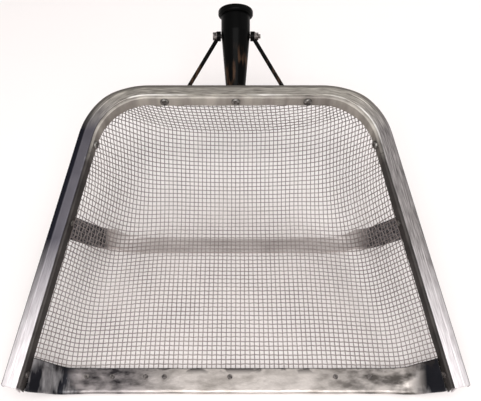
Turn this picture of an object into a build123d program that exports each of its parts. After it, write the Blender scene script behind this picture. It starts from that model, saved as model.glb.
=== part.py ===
"""Shovel-shaped soil sieve: a wire cloth basket in a bent aluminium rim, with a handle socket.

Frame: millimetres, +X to the user's right, +Y from the open front towards the handle, +Z up.
The sieve stands on z = 0 and x = 0 is its plane of symmetry. While the parts are made, y = 0 is the
rear edge of the blade; they are saved ORIGIN_SHIFT further back, so that the origin lies in the
middle of the blade's underside.
"""
import math
import os

from build123d import *

ORIGIN_SHIFT = 12.75        # half the width of the blade's underside

# ---- rim -------------------------------------------------------------------------------------
RIM_HALF_WIDTH = 217.1      # outer half width of the rim at y = 0
RAIL_TAPER = 0.2177         # how much each side rail closes in per millimetre of y
RIM_BACK = 277.7            # outer edge of the rim's back
RIM_CORNER = 75.0           # outer corner radius in plan
RIM_FACE = 15.2             # width of the flat top face
RIM_SHEET = 1.8             # thickness of the face and the inner flange
FLANGE_DEPTH = 13.0         # the inner flange hangs this far below the top face
LIP_SHEET = 1.5
LIP_DEPTH = 6.0
RIM_FRONT_Z = 51.0          # height of the top face at y = 0
RIM_SLOPE = 0.3157          # rise of the side rails towards the back
RIM_LEVEL_Y = 262.5         # behind this line the rim lies level
RAIL_END = -28.8            # y of the rails' outer front corners

# ---- wire cloth basket -----------------------------------------------------------------------
MESH_Z = 1.2                # underside of the wire cloth
MESH_SHEET = 1.8            # a warp and a weft wire laid over each other
MESH_FRONT = -21.4          # the cloth ends inside the blade's fold
FLOOR_RISE = 1.4            # the floor climbs this much from the blade to the strap
STRAP_LEVEL = (136.0, 156.0)
FLOOR_RADIUS = 82.0         # sweep of the floor behind the strap
FLOOR_ANGLE = 43.0          # slope of the floor where it meets the back wall

# ---- clamp strips ----------------------------------------------------------------------------
STRIP_GAP = 0.1
STRIP_SHEET = 1.4
STRIP_TOP = 2.1             # below the top face
STRIP_BOTTOM = 12.0         # clear of the cloth where it bends in to the floor
STRIP_SEAM = 212.0          # y where the side strips meet the back strip

# ---- front blade -----------------------------------------------------------------------------
BLADE_SHEET = 1.1
BLADE_UNDER = 1.2           # lower sheet, a little thicker so that z = 0 cuts it flat
BLADE_FRONT = -25.5
BLADE_CORNER_FRONT = -30.0
BLADE_RIVET_X = (-152.0, -126.0, -92.0, -73.0, -6.0, 102.0, 137.0)
BLADE_RIVET_Y = -9.0
BLADE_END_Y = -17.0         # the rivets that hold its ends to the rails

# ---- strap -----------------------------------------------------------------------------------
STRAP_WIDTH = 18.3
STRAP_SHEET = 2.4
STRAP_Y = 147.0             # centre line under the floor
STRAP_END_Y = 127.0         # centre line where it reaches the rails

# ---- handle socket and braces ----------------------------------------------------------------
SOCKET_ORIGIN = (0.0, 282.0, 119.5)
SOCKET_TILT = 28.0          # degrees above the floor
SOCKET_START = 3.0          # all lengths below run along the socket's axis
BRACE_BOLT_AT = 65.5
SOCKET_TAPER_END = 69.0     # the bore is parallel from here to the mouth
SOCKET_END = 97.0
SOCKET_R_SMALL = 11.0
SOCKET_R = 16.6
SOCKET_WALL = 1.6
COLLAR_R = 20.1
COLLAR_LENGTH = 8.0
FOOT_TANG = (13.0, 6.2)     # width and height of the level tang, below the middle nut
FOOT_TANG_Z = 117.8
FOOT_TANG_END = 291.0       # y inside the plug
FOOT_PLUG_R = 9.3           # fills the lower end of the socket
FOOT_PLATE = (52.0, 2.6, 16.0)
BRACE_R = 2.3
BRACE_EYE_R = 5.6
BRACE_EYE_X = 19.3
BRACE_BEND = (57.0, 281.0, 120.0)
BRACE_BOLT_R = 2.5
BRACE_PAD_R = 5.5           # just under the rim's face

# ---- screws ----------------------------------------------------------------------------------
SCREW_R = 2.5
SCREW_HEAD_R = 4.8
SCREW_HEAD = 2.6
SCREW_DROP = 7.4            # screw axis below the top face
BACK_SCREW_X = (-79.0, 0.0, 80.0)
SIDE_SCREW_Y = 211.0
NUT_R = 4.6
NUT_HEIGHT = 3.4
WASHER_R = 5.2
WASHER_SHEET = 0.9
HOLE_CLEARANCE = 0.1
RIVET_R = 1.5
RIVET_HOLE_R = 1.6

TAPER_ANGLE = math.degrees(math.atan(RAIL_TAPER))
FAR = 300.0


def rim_height(y):
    """Height of the rim's top face: a straight climb that ends in a level back."""
    return RIM_FRONT_Z + RIM_SLOPE * min(y, RIM_LEVEL_Y)


def half_width(y, inset):
    """Half width between the straight side rails, measured inset millimetres inside their edge."""
    return RIM_HALF_WIDTH - RAIL_TAPER * y - inset / math.cos(math.radians(TAPER_ANGLE))


def outline(inset):
    """Plan view of the rim's outer edge moved inwards, as a tall prism with a square rail end."""
    front = -90.0
    back = RIM_BACK - inset
    corners = Polyline(
        (-half_width(front, inset), front),
        (-half_width(back, inset), back),
        (half_width(back, inset), back),
        (half_width(front, inset), front),
        close=True,
    )
    plan = make_face(corners)
    plan = fillet(plan.vertices().sort_by(Axis.Y)[-2:], RIM_CORNER - inset)
    return extrude(plan, FAR)


def band(outer_inset, inner_inset):
    """A tall wall that follows the rim between two insets, with its rail ends cut square."""
    apex = RAIL_END - RAIL_TAPER * half_width(RAIL_END, 0)
    side = apex + RAIL_TAPER * FAR
    keep = make_face(Polyline((-FAR, side), (0, apex), (FAR, side), (FAR, FAR), (-FAR, FAR), close=True))
    return (outline(outer_inset) - outline(inner_inset)) & extrude(keep, FAR)


def slab(top, bottom):
    """Everything between two depths below the rim's top face."""
    front, level = rim_height(-90.0), rim_height(FAR)
    points = [(-90.0, front - top), (RIM_LEVEL_Y, level - top), (FAR, level - top)]
    points += [(FAR, level - bottom), (RIM_LEVEL_Y, level - bottom), (-90.0, front - bottom)]
    profile = make_face(Polyline(*points, close=True))
    creases = profile.vertices().filter_by(lambda v: abs(v.X - RIM_LEVEL_Y) < 0.01)
    profile = fillet(creases, 40.0)
    return extrude(Plane.YZ * profile, FAR, both=True)


def centre_height(y):
    """Underside of the cloth on the plane of symmetry: almost flat, then a round sweep upwards."""
    level_start, level_end = STRAP_LEVEL
    if y < level_start:
        return MESH_Z + FLOOR_RISE * max(0.0, y) / level_start
    base = MESH_Z + FLOOR_RISE
    slope = math.radians(FLOOR_ANGLE)
    run = y - level_end
    sweep = FLOOR_RADIUS * math.sin(slope)
    if run <= 0:
        return base
    if run < sweep:
        return base + FLOOR_RADIUS - math.sqrt(FLOOR_RADIUS**2 - run**2)
    return base + FLOOR_RADIUS * (1 - math.cos(slope)) + (run - sweep) * math.tan(slope)


def between(y, table):
    """Linear interpolation in a short table of (y, value) pairs."""
    for (y0, v0), (y1, v1) in zip(table, table[1:]):
        if y <= y1:
            t = max(0.0, (y - y0) / (y1 - y0))
            return v0 + t * (v1 - v0)
    return table[-1][1]


def bend(x, foot, radius):
    """Almost zero before the foot of the wall, almost a ramp after it, and a round bend between."""
    run = abs(x) - foot
    return (run + math.sqrt(run**2 + radius**2)) / 2


def cloth_height(x, y):
    """Underside of the wire cloth: the floor, and side walls that climb to the rim's flange."""
    edge = half_width(y, RIM_FACE)
    foot = edge * between(y, ((-40.0, 0.87), (147.0, 0.83), (255.0, 0.62)))
    radius = between(y, ((-40.0, 7.0), (147.0, 14.0), (255.0, 32.0)))
    low = centre_height(y)
    top = rim_height(y) - FLANGE_DEPTH
    at_zero = bend(0.0, foot, radius)
    share = (bend(x, foot, radius) - at_zero) / (bend(edge, foot, radius) - at_zero)
    return low + (top - low) * share


def cloth_point(x, y, offset):
    """A point on the cloth's underside, moved along the surface's normal by offset."""
    step = 0.05
    slope_x = (cloth_height(x + step, y) - cloth_height(x - step, y)) / (2 * step)
    slope_y = (cloth_height(x, y + step) - cloth_height(x, y - step)) / (2 * step)
    length = math.sqrt(1 + slope_x**2 + slope_y**2)
    height = cloth_height(x, y) + offset / length
    return Vector(x - offset * slope_x / length, y - offset * slope_y / length, height)


def above(offset):
    """Everything above the cloth's surface moved by offset along its normal."""
    columns = 64
    rows = 44
    grid = []
    for i in range(columns + 1):
        share = -1.0 + 2.0 * i / columns
        line = []
        for j in range(rows + 1):
            y = -45.0 + 325.0 * j / rows
            x = share * (half_width(y, RIM_FACE) + 8.0)
            line.append(cloth_point(x, y, offset))
        grid.append(line)
    surface = Face.make_surface_from_array_of_points(grid, tol=0.05, max_deg=4)
    return Solid.extrude(surface, Vector(0, 0, FAR))


def plan_box(y0, y1):
    """All space between two values of y."""
    return Pos(0, (y0 + y1) / 2, 0) * Box(2 * FAR, y1 - y0, 2 * FAR)


def on_back(x, y, drop=SCREW_DROP):
    """A frame on the back flange: its z axis points backwards along +Y."""
    return Location(Plane(origin=(x, y, rim_height(FAR) - drop), x_dir=(1, 0, 0), z_dir=(0, 1, 0)))


def on_rail(side, y, inset, drop=SCREW_DROP):
    """A frame on a side rail's flange: its z axis points outwards, square to the rail."""
    x = side * half_width(y, inset)
    outward = (side * math.cos(math.radians(TAPER_ANGLE)), math.sin(math.radians(TAPER_ANGLE)), 0)
    return Location(Plane(origin=(x, y, rim_height(y) - drop), x_dir=(0, 0, 1), z_dir=outward))


def rod(place, radius, start, end):
    """A cylinder along a frame's z axis from start to end."""
    return place * Pos(0, 0, (start + end) / 2) * Cylinder(radius, end - start)


def screw_places():
    """Frames of the five cloth screws, each at the inner face of the flange."""
    inner = RIM_BACK - RIM_FACE
    places = [on_back(x, inner) for x in BACK_SCREW_X]
    return places + [on_rail(side, SIDE_SCREW_Y, RIM_FACE) for side in (-1, 1)]


def strap_rivet_places():
    return [on_rail(side, STRAP_END_Y, RIM_FACE, drop=7.0) for side in (-1, 1)]


def blade_end_places():
    return [on_rail(side, BLADE_END_Y, RIM_FACE, drop=7.5) for side in (-1, 1)]


def drill(solid, places, radius):
    for place in places:
        solid -= rod(place, radius, -12.0, 12.0)
    return solid


def drill_floor(solid):
    """Holes for the blade's rivets."""
    for x in BLADE_RIVET_X:
        solid -= Pos(x, BLADE_RIVET_Y, 0) * Cylinder(RIVET_HOLE_R, 20.0)
    return solid


def socket_place(along):
    """A frame on the socket's axis: its z axis points out of the mouth."""
    tilt = math.radians(SOCKET_TILT)
    direction = Vector(0, math.cos(tilt), math.sin(tilt))
    origin = Vector(*SOCKET_ORIGIN) + direction * along
    return Location(Plane(origin=origin, x_dir=(1, 0, 0), z_dir=direction))


def make_rim():
    face = band(0, RIM_FACE) & slab(0, RIM_SHEET)
    flange = band(RIM_FACE - RIM_SHEET, RIM_FACE) & slab(0, FLANGE_DEPTH)
    lip = band(0, LIP_SHEET) & slab(0, LIP_DEPTH)
    rim = face + flange + lip
    rim = drill(rim, screw_places(), SCREW_R + HOLE_CLEARANCE)
    return drill(rim, strap_rivet_places() + blade_end_places(), RIVET_HOLE_R)


def make_cloth(under, inside):
    outer = under & outline(RIM_FACE) & slab(STRIP_TOP, 200.0) & plan_box(MESH_FRONT, FAR)
    basket = outer - (inside & outline(RIM_FACE + MESH_SHEET))
    basket = drill(basket, screw_places(), SCREW_R + HOLE_CLEARANCE)
    basket = drill_floor(basket)
    return drill(basket, strap_rivet_places() + blade_end_places(), RIVET_HOLE_R)


def make_strips():
    outer = RIM_FACE + MESH_SHEET + STRIP_GAP
    ring = band(outer, outer + STRIP_SHEET) & slab(STRIP_TOP, STRIP_BOTTOM)
    ring = drill(ring, screw_places()[:3], SCREW_R + HOLE_CLEARANCE)
    ring = drill(ring, strap_rivet_places() + blade_end_places(), RIVET_HOLE_R)
    back = ring & plan_box(STRIP_SEAM - 11.0, FAR)
    back = drill(back, screw_places()[3:], SCREW_R + HOLE_CLEARANCE)
    sides = ring & plan_box(-90.0, STRIP_SEAM - 11.5)
    left = sides & Pos(-FAR / 2, 0, 0) * Box(FAR, 2 * FAR, 2 * FAR)
    right = sides & Pos(FAR / 2, 0, 0) * Box(FAR, 2 * FAR, 2 * FAR)
    return back, left, right


def blade_plan():
    """Plan view of the folded blade, its front edge a little ahead at the corners."""
    front = ThreePointArc((-230, BLADE_CORNER_FRONT), (0, BLADE_FRONT), (230, BLADE_CORNER_FRONT))
    rest = Polyline((230, BLADE_CORNER_FRONT), (230, 0), (-230, 0), (-230, BLADE_CORNER_FRONT))
    return extrude(make_face(front + rest), FAR)


def make_blade(low, high, slot_low, slot_high):
    limits = blade_plan() & outline(RIM_FACE + 5.0)
    blade = (low & limits) - (high & limits)
    slot_limits = plan_box(MESH_FRONT - 0.3, 5.0) & outline(RIM_FACE)
    slot = (slot_low & slot_limits) - (slot_high & slot_limits)
    blade -= slot
    return drill_floor(blade)


def strap_plan():
    """Plan view of the strap: straight under the floor, its ends led forward to the rails."""
    half = STRAP_WIDTH / 2
    points = []
    for side in (1, -1):
        order = (1, -1) if side > 0 else (-1, 1)
        knee = [(side * 138.0, STRAP_Y + e * half) for e in order]
        end = [(side * 186.0, STRAP_END_Y - 7.0 + e * half) for e in order]
        points += [knee[0], end[0], end[1], knee[1]]
    return extrude(make_face(Polyline(*points, close=True)), FAR)


def make_strap(low, high):
    plan = strap_plan()
    limits = plan & outline(RIM_FACE - RIM_SHEET - STRAP_SHEET) & slab(FLANGE_DEPTH + 0.2, 200.0)
    body = (low & limits) - (high & limits)
    tab_band = band(RIM_FACE - RIM_SHEET - 0.1 - STRAP_SHEET, RIM_FACE - RIM_SHEET - 0.1)
    tabs = tab_band & slab(3.0, FLANGE_DEPTH + 7.0) & plan
    return drill(body + tabs, strap_rivet_places(), RIVET_HOLE_R)


def make_screws():
    """Pan head screws driven from inside through strip, cloth and flange."""
    start = -(MESH_SHEET + STRIP_GAP + STRIP_SHEET)
    screws = []
    for place in screw_places():
        shank = rod(place, SCREW_R, start, 11.0)
        head = rod(place, SCREW_HEAD_R, start - SCREW_HEAD, start)
        head = fillet(head.faces().sort_by(lambda f: rim_distance(f, place))[0].edges(), 1.6)
        recess = rod(place, 0.6, start - SCREW_HEAD, start - SCREW_HEAD + 1.0)
        slot = place * Pos(0, 0, start - SCREW_HEAD) * Box(4.4, 0.9, 1.8)
        cross = place * Pos(0, 0, start - SCREW_HEAD) * Box(0.9, 4.4, 1.8)
        screws.append(shank + head - slot - cross - recess)
    return screws


def rim_distance(face, place):
    """Distance of a face's centre along a frame's z axis, smallest at the screw head's front."""
    axis = Plane(place).z_dir
    return (face.center() - place.position).dot(axis)


def foot_stack(index):
    """Where the washer of screw number index begins: behind the flange or what it also clamps."""
    clamped = {0: 2.9, 1: FOOT_PLATE[1] + 0.2, 2: 2.9}
    return RIM_SHEET + clamped.get(index, 0.1)


def make_washers():
    washers = []
    for index, place in enumerate(screw_places()):
        start = foot_stack(index)
        ring = rod(place, WASHER_R, start, start + WASHER_SHEET)
        washers.append(ring - rod(place, SCREW_R + HOLE_CLEARANCE, start - 1, start + 3))
    return washers


def make_nuts():
    nuts = []
    for index, place in enumerate(screw_places()):
        start = foot_stack(index) + WASHER_SHEET + 0.05
        hexagon = extrude(RegularPolygon(NUT_R, 6), NUT_HEIGHT)
        nut = place * Pos(0, 0, start) * hexagon
        nuts.append(nut - rod(place, SCREW_R + HOLE_CLEARANCE / 2, start - 1, start + NUT_HEIGHT + 1))
    return nuts


def make_rivet(place, start, end, head_r, head_height):
    """A domed rivet: a shank between two low heads."""
    shank = rod(place, RIVET_R, start, end)
    near = rod(place, head_r, start - head_height, start)
    far = rod(place, head_r, end, end + head_height)
    return shank + near + far


def make_socket():
    """Steel tube: a parallel mouth with a rolled collar, tapering down to the foot."""
    outer = [(SOCKET_START, SOCKET_R_SMALL), (SOCKET_TAPER_END, SOCKET_R), (SOCKET_END, SOCKET_R)]
    inner = [(SOCKET_END, SOCKET_R - SOCKET_WALL), (SOCKET_TAPER_END, SOCKET_R - SOCKET_WALL)]
    inner += [(SOCKET_START, SOCKET_R_SMALL - SOCKET_WALL)]
    wall = make_face(Polyline(*[(r, along) for along, r in outer + inner], close=True))
    tube = revolve(Plane.XZ * wall, Axis.Z)
    collar = Cylinder(COLLAR_R, COLLAR_LENGTH) - Cylinder(SOCKET_R - SOCKET_WALL, COLLAR_LENGTH)
    rims = collar.edges().filter_by(GeomType.CIRCLE)
    collar = fillet([edge for edge in rims if edge.radius > COLLAR_R - 0.5], 2.6)
    tube += Pos(0, 0, SOCKET_END - COLLAR_LENGTH / 2) * collar
    tube = socket_place(0) * tube
    return tube - brace_pin(BRACE_BOLT_R + HOLE_CLEARANCE, -40.0, 40.0)


def brace_pin(radius, start, end):
    """A cylinder across the socket on the axis of the brace bolt."""
    origin = socket_place(BRACE_BOLT_AT).position
    return rod(Location(Plane(origin=origin, x_dir=(0, 0, 1), z_dir=(1, 0, 0))), radius, start, end)


def make_foot():
    """Plate behind the back flange with a stub that closes the lower end of the socket."""
    width, thickness, height = FOOT_PLATE
    front = RIM_BACK - RIM_FACE + RIM_SHEET + 0.1
    z = rim_height(FAR) - 3.0 - height / 2
    plate = Pos(0, front + thickness / 2, z) * Box(width, thickness, height)
    tang_start = front + 0.5
    tang_middle = (tang_start + FOOT_TANG_END) / 2
    tang_width, tang_height = FOOT_TANG
    tang = Box(tang_width, FOOT_TANG_END - tang_start, tang_height)
    neck = Pos(0, tang_middle, FOOT_TANG_Z) * tang
    stub = neck + rod(socket_place(0), FOOT_PLUG_R, SOCKET_START, 14.0)
    return drill(plate + stub, [screw_places()[1]], SCREW_R + HOLE_CLEARANCE)


def make_brace(side):
    """Round rod with an eye on the socket bolt and a flattened foot on a cloth screw."""
    eye = Vector(side * BRACE_EYE_X, *tuple(socket_place(BRACE_BOLT_AT).position)[1:])
    screw = screw_places()[0 if side < 0 else 2].position
    knee = Vector(side * BRACE_BEND[0], BRACE_BEND[1], BRACE_BEND[2])
    behind = RIM_BACK - RIM_FACE + RIM_SHEET + 0.2
    foot = Vector(screw.X - side * 6.0, behind + 2.3, screw.Z)
    leave = eye + (knee - eye).normalized() * (BRACE_EYE_R - 1.0)
    path = FilletPolyline(leave, knee, foot, radius=9.0)
    profile = Plane(origin=leave, z_dir=knee - eye) * Circle(BRACE_R)
    bar = sweep(profile, path=path)
    ring_axis = Location(Plane(origin=eye, x_dir=(0, 0, 1), z_dir=(1, 0, 0)))
    ring = rod(ring_axis, BRACE_EYE_R, -BRACE_R, BRACE_R)
    pad = Location(Plane(origin=(screw.X, behind, screw.Z), x_dir=(1, 0, 0), z_dir=(0, 1, 0)))
    flat = rod(pad, BRACE_PAD_R, 0.0, 2.6)
    brace = bar + ring + flat
    brace -= Pos(0, behind - 5.0, 0) * Box(2 * FAR, 10.0, 2 * FAR)
    brace -= rod(ring_axis, BRACE_BOLT_R + HOLE_CLEARANCE, -9.0, 9.0)
    brace -= rod(pad, SCREW_R + HOLE_CLEARANCE, -5.0, 12.0)
    return brace - rod(pad, WASHER_R + 0.3, 2.65, 12.0)


def make_brace_bolt():
    end = BRACE_EYE_X + BRACE_R
    shank = brace_pin(BRACE_BOLT_R, -end - 1.1, end + 7.0)
    head = brace_pin(4.6, -end - 4.6, -end - 1.1)
    return shank + head


def make_brace_nut():
    start = BRACE_EYE_X + BRACE_R + 1.15
    origin = socket_place(BRACE_BOLT_AT).position
    place = Location(Plane(origin=origin, x_dir=(0, 0, 1), z_dir=(1, 0, 0)))
    nut = place * Pos(0, 0, start) * extrude(RegularPolygon(NUT_R, 6), NUT_HEIGHT)
    return nut - brace_pin(BRACE_BOLT_R + HOLE_CLEARANCE / 2, 0, 60)


def make_brace_washers():
    start = BRACE_EYE_X + BRACE_R + 0.05
    rings = [brace_pin(WASHER_R, start, start + 1.0), brace_pin(WASHER_R, -start - 1.0, -start)]
    return [ring - brace_pin(BRACE_BOLT_R + HOLE_CLEARANCE, -60, 60) for ring in rings]


def make_blade_rivets(inside_height):
    rivets = []
    for x in BLADE_RIVET_X:
        base = cloth_height(x, BLADE_RIVET_Y)
        shank_top = base + inside_height
        middle = (base - 0.6 + shank_top) / 2
        shank = Pos(x, BLADE_RIVET_Y, middle) * Cylinder(RIVET_R, shank_top - base + 0.6)
        head = Pos(x, BLADE_RIVET_Y, shank_top + 0.4) * Cylinder(2.6, 0.8)
        rivets.append(shank + head)
    return rivets


def save(name, shapes):
    """Write one node: a single solid, or a group of separate solids."""
    group = shapes if isinstance(shapes, list) else [shapes]
    solids = [Pos(0, ORIGIN_SHIFT, 0) * solid for shape in group for solid in shape.solids()]
    result = solids[0] if len(solids) == 1 else Compound(children=solids)
    result.label = name
    export_step(result, f"parts/{name}.step")
    volume = sum(solid.volume for solid in solids)
    print(f"{name}: {len(solids)} solid(s), {volume / 1000:.2f} cm3")


def main():
    os.makedirs("parts", exist_ok=True)
    under = above(0.0)
    inside = above(MESH_SHEET)
    low_blade = above(-BLADE_UNDER - 0.1)
    just_under = above(-0.1)
    just_inside = above(MESH_SHEET + 0.1)
    high_blade = above(MESH_SHEET + 0.1 + BLADE_SHEET)
    low_strap = above(-STRAP_SHEET - 0.1)

    save("rim", make_rim())
    save("mesh_basket", make_cloth(under, inside))
    back, left, right = make_strips()
    save("clamp_strip_back", back)
    save("clamp_strip_left", left)
    save("clamp_strip_right", right)
    save("mesh_screws", make_screws())
    save("mesh_washers", make_washers())
    save("mesh_nuts", make_nuts())
    save("front_blade", make_blade(low_blade, high_blade, just_under, just_inside))
    save("blade_rivets", make_blade_rivets(MESH_SHEET + BLADE_SHEET + 0.15))
    ends = [make_rivet(place, -3.5, RIM_SHEET + 0.1, 3.0, 1.0) for place in blade_end_places()]
    save("blade_end_rivets", ends)
    save("strap", make_strap(low_strap, just_under))
    grip = RIM_SHEET + STRAP_SHEET + 0.2
    riveted = [make_rivet(place, -3.5, grip, 3.0, 1.0) for place in strap_rivet_places()]
    save("strap_rivets", riveted)
    save("handle_socket", make_socket())
    save("socket_foot", make_foot())
    save("left_brace", make_brace(-1))
    save("right_brace", make_brace(1))
    save("brace_bolt", make_brace_bolt())
    save("brace_nut", make_brace_nut())
    save("brace_washers", make_brace_washers())


main()
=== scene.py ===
# %% [markdown]
# # A soil sieve of wire cloth in an aluminium rim
# This lesson dresses a finished CAD frame. The screws, nuts, braces, strap and handle socket keep their
# CAD meshes and only get finishes. The thin sheet and the wire are worked out here with numpy, because a
# woven basket is thousands of small bends that are easy to write as one formula and slow to draw.

# %% The frame and the tools
import math

import bpy
import numpy as np
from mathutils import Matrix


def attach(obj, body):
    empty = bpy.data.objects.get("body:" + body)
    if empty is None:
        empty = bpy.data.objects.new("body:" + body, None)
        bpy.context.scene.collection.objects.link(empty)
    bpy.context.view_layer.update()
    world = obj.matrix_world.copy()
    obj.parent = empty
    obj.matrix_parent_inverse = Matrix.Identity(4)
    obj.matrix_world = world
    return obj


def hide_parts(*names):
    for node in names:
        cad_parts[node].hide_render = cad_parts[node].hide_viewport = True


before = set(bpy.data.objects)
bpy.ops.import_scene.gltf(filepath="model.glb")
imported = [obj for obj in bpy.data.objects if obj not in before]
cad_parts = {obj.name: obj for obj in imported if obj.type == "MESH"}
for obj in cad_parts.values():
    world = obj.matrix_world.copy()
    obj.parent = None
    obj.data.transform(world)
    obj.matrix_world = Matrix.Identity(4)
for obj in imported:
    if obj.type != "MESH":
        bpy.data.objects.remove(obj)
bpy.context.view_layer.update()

MM = 0.001
ORIGIN_SHIFT = 12.75        # the CAD frame starts in the middle of the blade, the formulas at its rear edge

# %% [markdown]
# ## The lines that everything follows
# A sheet metal worker would set out three lines first: the rim in plan, the height of its top face and
# the hollow of the basket. Each is a short formula here, in millimetres, and takes whole arrays.

# %% The rim in plan and in height
RIM_HALF_WIDTH = 217.1
RAIL_TAPER = 0.2177
RIM_BACK = 277.7
RIM_CORNER = 75.0
RIM_FACE = 15.2
FLANGE_DEPTH = 13.0
RIM_FRONT_Z = 51.0
RIM_SLOPE = 0.3157
RIM_LEVEL_Y = 262.5
RAIL_END = -28.8
CREASE = 6.2                # half length of the soft crease where the rails turn level
TURN = math.atan(RAIL_TAPER)


def rim_height(y):
    """A straight climb and a level back, joined by a parabola over the crease."""
    run = np.clip(y - RIM_LEVEL_Y, -CREASE, CREASE)
    climb = RIM_SLOPE * np.minimum(y - RIM_LEVEL_Y, -CREASE)
    soft = RIM_SLOPE * (CREASE - (CREASE - run) ** 2 / (4 * CREASE))
    return RIM_FRONT_Z + RIM_SLOPE * RIM_LEVEL_Y + climb + soft


def half_width(y, inset=0.0):
    """Half the width between the straight rails, measured inset inside their outer edge."""
    return RIM_HALF_WIDTH - RAIL_TAPER * y - inset / math.cos(TURN)


CORNER_Y = RIM_BACK - RIM_CORNER
CORNER_X = half_width(CORNER_Y, RIM_CORNER)
HALF_BACK = CORNER_X
CORNER_LENGTH = RIM_CORNER * (math.pi / 2 - TURN)
RAIL_LENGTH = ((CORNER_Y + RIM_CORNER * math.sin(TURN)) - RAIL_END) / math.cos(TURN)
RIM_LENGTH = HALF_BACK + CORNER_LENGTH + RAIL_LENGTH
print("half the rim's outer edge is", round(RIM_LENGTH, 1), "mm long")


def along_rim(s):
    """Outer edge in plan, s from the middle of the back, negative to the left: place and outward normal."""
    side = np.where(s < 0, -1.0, 1.0)
    run = np.abs(s)
    angle = np.pi / 2 - np.clip((run - HALF_BACK) / RIM_CORNER, 0, np.pi / 2 - TURN)
    normal = np.stack([np.cos(angle), np.sin(angle)], -1)
    straight = np.minimum(run - HALF_BACK, 0.0)
    rail = np.maximum(run - HALF_BACK - CORNER_LENGTH, 0.0)
    x = CORNER_X + straight + RIM_CORNER * normal[..., 0] + rail * math.sin(TURN)
    y = CORNER_Y + RIM_CORNER * normal[..., 1] - rail * math.cos(TURN)
    return side * x, y, side * normal[..., 0], normal[..., 1]


def rim_point(s, inset, drop):
    """The point inset inside the outer edge and drop below the top face."""
    x, y, nx, ny = along_rim(s)
    x, y = x - inset * nx, y - inset * ny
    return np.stack([x, y, rim_height(y) - drop + 0 * x], -1)


# %% [markdown]
# ## The hollow of the basket
# Pressed wire cloth sags into a shallow scoop with no corner in it. It could be sculpted, but the blade, the
# strap and every wire have to follow the same surface, so its height is one function of plan x and y.

# %% The hollow of the basket
MESH_Z = 1.2
FLOOR_RISE = 1.4
STRAP_LEVEL = (136.0, 156.0)
FLOOR_RADIUS = 82.0
FLOOR_SLOPE = math.radians(43.0)
SWEEP = FLOOR_RADIUS * math.sin(FLOOR_SLOPE)
WALL_AT = (-40, 147, 255)           # places along the sieve: blade, strap and back
WALL_FOOT = (0.87, 0.83, 0.62)      # where a side wall starts there, as a share of the half width
WALL_BEND = (7.0, 14.0, 32.0)       # and how softly it starts
CLOTH_MIDDLE = 0.9                  # half the thickness of the woven cloth


def centre_height(y):
    """Underside of the cloth in the middle: nearly flat, a round sweep, then a straight slope."""
    low = MESH_Z + FLOOR_RISE * np.clip(y / STRAP_LEVEL[0], 0, 1)
    run = np.clip(y - STRAP_LEVEL[1], 0, SWEEP)
    past = np.maximum(y - STRAP_LEVEL[1] - SWEEP, 0)
    return low + FLOOR_RADIUS - np.sqrt(FLOOR_RADIUS**2 - run**2) + past * math.tan(FLOOR_SLOPE)


def bend(x, foot, radius):
    """Half of run plus the hypotenuse of run and radius: flat before the foot, a ramp after it."""
    run = np.abs(x) - foot
    return (run + np.sqrt(run**2 + radius**2)) / 2


def cloth_height(x, y):
    """Underside of the cloth: the floor, and side walls that climb to the rim's flange."""
    edge = half_width(y, RIM_FACE)
    foot = edge * np.interp(y, WALL_AT, WALL_FOOT)
    radius = np.interp(y, WALL_AT, WALL_BEND)
    low = centre_height(y)
    flat = bend(0.0, foot, radius)
    share = (bend(x, foot, radius) - flat) / (bend(edge, foot, radius) - flat)
    return low + (rim_height(y) - FLANGE_DEPTH - low) * share


STEP = 0.4                          # half the distance over which a slope is measured


def slopes(x, y):
    """Slopes of the cloth across and along, from the heights a short step away on each side."""
    across = (cloth_height(x + STEP, y) - cloth_height(x - STEP, y)) / (2 * STEP)
    along = (cloth_height(x, y + STEP) - cloth_height(x, y - STEP)) / (2 * STEP)
    return across, along


print("the middle of the floor climbs to", round(float(centre_height(RIM_LEVEL_Y)), 1), "mm at the back wall")

# %% [markdown]
# ## From flat cloth to basket
# Real wire cloth is flat before it is pressed into the rim, so a place on it has two flat lengths: s
# across from the middle and b along from the blade. A mould maker would drape it by eye. Here s is
# carried across each section by its arc length, b leans forward near the rails, and whatever would
# pass the rim's flange is folded up into the wall.

# %% Flat lengths to plan
ROW_STEP = 2.0
ROWS = np.arange(-48.0, 330.0, ROW_STEP)
CLOTH_HALF = 262.0          # flat length kept on each side of the middle
LEAN_AT = (-30, 0, 126, 200, 241, 262)      # places along the sieve
LEAN_BY = (3, 4, 21, 19, 9, 4)              # how far the cross wires lean forward there, at the rails
LEAN_FROM = 0.4                             # share of the half width where the lean starts
SETTLING_ROUNDS = 10


def march_across():
    """Plan x for each flat length s: x grows by one over the hypotenuse of 1 and the slope."""
    x = np.zeros_like(ROWS)
    columns = [x]
    for _ in range(int(CLOTH_HALF)):
        x = x + 1.0 / np.hypot(1.0, slopes(x + 0.5, ROWS)[0])
        columns.append(x)
    return np.stack(columns)


ACROSS = march_across()


def plan_x(s, y):
    """Reads plan x from the marched columns, straight between neighbouring entries."""
    size = np.clip(np.abs(s), 0, CLOTH_HALF - 1.001)
    row = np.clip((y - ROWS[0]) / ROW_STEP, 0, len(ROWS) - 1.001)
    i, j = size.astype(int), row.astype(int)
    u, v = size - i, row - j
    near = ACROSS[i, j] * (1 - v) + ACROSS[i, j + 1] * v
    far = ACROSS[i + 1, j] * (1 - v) + ACROSS[i + 1, j + 1] * v
    return np.sign(s) * (near * (1 - u) + far * u)


def centre_y(b):
    """Plan y of flat length b on the middle line: straight, round the sweep, then down the slope."""
    turn = np.clip((b - STRAP_LEVEL[1]) / FLOOR_RADIUS, 0, FLOOR_SLOPE)
    past = np.maximum(b - STRAP_LEVEL[1] - FLOOR_RADIUS * FLOOR_SLOPE, 0)
    return np.minimum(b, STRAP_LEVEL[1]) + FLOOR_RADIUS * np.sin(turn) + past * math.cos(FLOOR_SLOPE)


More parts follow.
